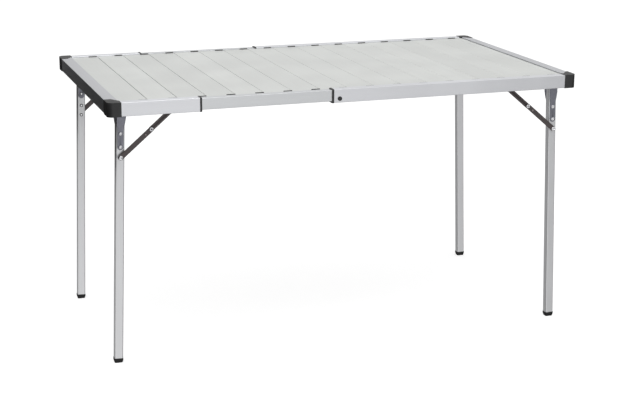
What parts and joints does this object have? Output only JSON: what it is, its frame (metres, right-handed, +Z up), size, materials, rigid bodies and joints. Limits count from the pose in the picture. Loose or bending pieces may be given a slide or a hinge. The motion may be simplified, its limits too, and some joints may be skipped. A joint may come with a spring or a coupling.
{
  "type": "folding picnic table",
  "caption": "Extending slat-top folding table with telescoping side rails, lift-out slats and inward-folding square legs on two-link locking braces.",
  "frame": {"origin": "on the floor, under the middle of the extended table top", "axes": "+X along the table towards its sliding right end, +Y across it towards the back, +Z up"},
  "size_m": [1.272, 0.7108, 0.7],
  "materials": {
    "frame_aluminium": "satin anodised",
    "inner_aluminium": "satin anodised",
    "slat_aluminium": "satin anodised, fine extrusion lines",
    "leg_aluminium": "satin anodised",
    "black_plastic": "moulded, fine texture",
    "zinc_steel": "zinc plated sheet",
    "rivet_steel": "plated rivet",
    "dark_steel": "dark bronze coating, semi-gloss"
  },
  "bodies": {
    "left_frame": {"left_end_rail": "frame_aluminium", "left_rail_front": "frame_aluminium", "left_rail_back": "frame_aluminium", "inner_rail_front": "inner_aluminium", "inner_rail_back": "inner_aluminium", "left_corner_front": "black_plastic", "left_corner_back": "black_plastic", "left_collar_front": "black_plastic", "left_collar_back": "black_plastic", "left_cross_beam": "frame_aluminium", "left_channel_front": "zinc_steel", "left_channel_back": "zinc_steel", "left_pins": "rivet_steel", "slats_left": "slat_aluminium", "clips_left": "black_plastic"},
    "right_frame": {"right_end_rail": "frame_aluminium", "right_rail_front": "frame_aluminium", "right_rail_back": "frame_aluminium", "right_corner_front": "black_plastic", "right_corner_back": "black_plastic", "right_collar_front": "black_plastic", "right_collar_back": "black_plastic", "right_cross_beam": "frame_aluminium", "right_channel_front": "zinc_steel", "right_channel_back": "zinc_steel", "right_pins": "rivet_steel", "lock_bezels": "black_plastic", "slats_right": "slat_aluminium", "filler_slat": "slat_aluminium", "clips_right": "black_plastic"},
    "middle_leaf": {"slats_middle": "slat_aluminium", "clips_middle": "black_plastic"},
    "lock_button_front": {"lock_button_front": "black_plastic"},
    "lock_button_back": {"lock_button_back": "black_plastic"},
    "leg_left_front": {"leg_left_front": "leg_aluminium", "plate_left_front": "zinc_steel", "rivets_left_front": "rivet_steel", "foot_left_front": "black_plastic"},
    "lower_link_left_front": {"lower_link_left_front": "dark_steel"},
    "upper_link_left_front": {"upper_link_left_front": "dark_steel"},
    "leg_left_back": {"leg_left_back": "leg_aluminium", "plate_left_back": "zinc_steel", "rivets_left_back": "rivet_steel", "foot_left_back": "black_plastic"},
    "lower_link_left_back": {"lower_link_left_back": "dark_steel"},
    "upper_link_left_back": {"upper_link_left_back": "dark_steel"},
    "leg_right_front": {"leg_right_front": "leg_aluminium", "plate_right_front": "zinc_steel", "rivets_right_front": "rivet_steel", "foot_right_front": "black_plastic"},
    "lower_link_right_front": {"lower_link_right_front": "dark_steel"},
    "upper_link_right_front": {"upper_link_right_front": "dark_steel"},
    "leg_right_back": {"leg_right_back": "leg_aluminium", "plate_right_back": "zinc_steel", "rivets_right_back": "rivet_steel", "foot_right_back": "black_plastic"},
    "lower_link_right_back": {"lower_link_right_back": "dark_steel"},
    "upper_link_right_back": {"upper_link_right_back": "dark_steel"}
  },
  "joints": [
    {"name": "extension", "type": "slide", "parent": "left_frame", "child": "right_frame", "axis": [1, 0, 0], "range_m": [-0.298, 0]},
    {"name": "leaf_lift", "type": "slide", "parent": "left_frame", "child": "middle_leaf", "axis": [0, 0, 1], "range_m": [0, 0.2]},
    {"name": "lock_press_front", "type": "slide", "parent": "right_frame", "child": "lock_button_front", "axis": [0, 1, 0], "range_m": [0, 0.0011], "stiffness_N_per_m": 900, "springref_m": -0.0006},
    {"name": "lock_press_back", "type": "slide", "parent": "right_frame", "child": "lock_button_back", "axis": [0, -1, 0], "range_m": [0, 0.0011], "stiffness_N_per_m": 900, "springref_m": -0.0006},
    {"name": "leg_fold_left_front", "type": "hinge", "parent": "left_frame", "child": "leg_left_front", "pos_m": [-0.589, -0.276, 0.67], "axis": [0, -1, 0], "range_deg": [0, 92.1]},
    {"name": "lower_link_turn_left_front", "type": "hinge", "parent": "leg_left_front", "child": "lower_link_left_front", "pos_m": [-0.59356, -0.276, 0.54558], "axis": [0, -1, 0], "range_deg": [-140, 0]},
    {"name": "upper_link_turn_left_front", "type": "hinge", "parent": "left_frame", "child": "upper_link_left_front", "pos_m": [-0.4475, -0.276, 0.67], "axis": [0, -1, 0], "range_deg": [0, 145]},
    {"name": "leg_fold_left_back", "type": "hinge", "parent": "left_frame", "child": "leg_left_back", "pos_m": [-0.589, 0.276, 0.67], "axis": [0, -1, 0], "range_deg": [0, 92.1]},
    {"name": "lower_link_turn_left_back", "type": "hinge", "parent": "leg_left_back", "child": "lower_link_left_back", "pos_m": [-0.59356, 0.276, 0.54558], "axis": [0, -1, 0], "range_deg": [-140, 0]},
    {"name": "upper_link_turn_left_back", "type": "hinge", "parent": "left_frame", "child": "upper_link_left_back", "pos_m": [-0.4475, 0.276, 0.67], "axis": [0, -1, 0], "range_deg": [0, 145]},
    {"name": "leg_fold_right_front", "type": "hinge", "parent": "right_frame", "child": "leg_right_front", "pos_m": [0.589, -0.3095, 0.67], "axis": [0, 1, 0], "range_deg": [0, 92.1]},
    {"name": "lower_link_turn_right_front", "type": "hinge", "parent": "leg_right_front", "child": "lower_link_right_front", "pos_m": [0.59356, -0.3095, 0.54558], "axis": [0, 1, 0], "range_deg": [-140, 0]},
    {"name": "upper_link_turn_right_front", "type": "hinge", "parent": "right_frame", "child": "upper_link_right_front", "pos_m": [0.4475, -0.3095, 0.67], "axis": [0, 1, 0], "range_deg": [0, 145]},
    {"name": "leg_fold_right_back", "type": "hinge", "parent": "right_frame", "child": "leg_right_back", "pos_m": [0.589, 0.3095, 0.67], "axis": [0, 1, 0], "range_deg": [0, 92.1]},
    {"name": "lower_link_turn_right_back", "type": "hinge", "parent": "leg_right_back", "child": "lower_link_right_back", "pos_m": [0.59356, 0.3095, 0.54558], "axis": [0, 1, 0], "range_deg": [-140, 0]},
    {"name": "upper_link_turn_right_back", "type": "hinge", "parent": "right_frame", "child": "upper_link_right_back", "pos_m": [0.4475, 0.3095, 0.67], "axis": [0, 1, 0], "range_deg": [0, 145]}
  ],
  "couplings": [
    {"joint": "leaf_lift", "follows": "extension", "ratio": -0.6},
    {"joint": "lower_link_turn_left_front", "follows": "leg_fold_left_front", "ratio": -1.4389},
    {"joint": "upper_link_turn_left_front", "follows": "leg_fold_left_front", "ratio": 1.5155},
    {"joint": "lower_link_turn_left_back", "follows": "leg_fold_left_back", "ratio": -1.4389},
    {"joint": "upper_link_turn_left_back", "follows": "leg_fold_left_back", "ratio": 1.5155},
    {"joint": "lower_link_turn_right_front", "follows": "leg_fold_right_front", "ratio": -1.4389},
    {"joint": "upper_link_turn_right_front", "follows": "leg_fold_right_front", "ratio": 1.5155},
    {"joint": "lower_link_turn_right_back", "follows": "leg_fold_right_back", "ratio": -1.4389},
    {"joint": "upper_link_turn_right_back", "follows": "leg_fold_right_back", "ratio": 1.5155}
  ]
}
